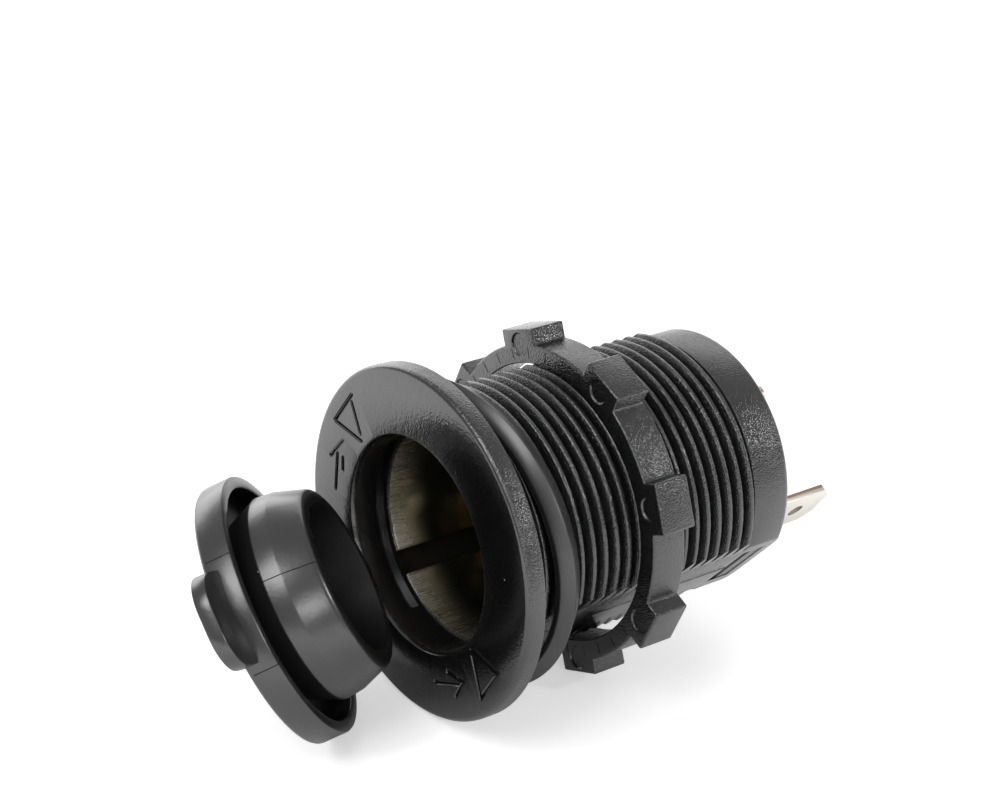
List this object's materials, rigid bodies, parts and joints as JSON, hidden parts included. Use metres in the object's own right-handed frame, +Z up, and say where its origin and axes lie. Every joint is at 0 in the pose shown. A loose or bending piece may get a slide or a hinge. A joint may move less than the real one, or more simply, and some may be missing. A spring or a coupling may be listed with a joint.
{
  "type": "12 volt accessory power socket",
  "caption": "Panel-mounted 12 volt accessory power socket with a flanged, threaded barrel, a lugged ring nut, a bevelled gasket, blade terminals and a loose push-in cap.",
  "frame": {"origin": "centre of the flange's back face, where the flange seats on the panel", "axes": "+Y along the barrel from the flange towards the blade terminals, +Z up, +X to the right seen from the front"},
  "size_m": [0.036, 0.0749, 0.036],
  "materials": {
    "nylon": "satin",
    "rubber": "matte",
    "sleeve": "nickel plated",
    "brass": "bright",
    "tinned": "tinned"
  },
  "bodies": {
    "socket": {"housing": "nylon", "terminal_carrier": "nylon", "panel_gasket": "rubber", "cap": "rubber", "contact_sleeve": "sleeve", "centre_contact": "brass", "ground_rivet": "brass", "positive_blade": "tinned", "ground_blade": "tinned"},
    "ring_nut": {"ring_nut": "nylon"}
  },
  "joints": [
    {"name": "nut_turn", "type": "hinge", "parent": "socket", "child": "ring_nut", "pos_m": [0, 0.01635, 0], "axis": [0, 1, 0], "continuous": true}
  ]
}
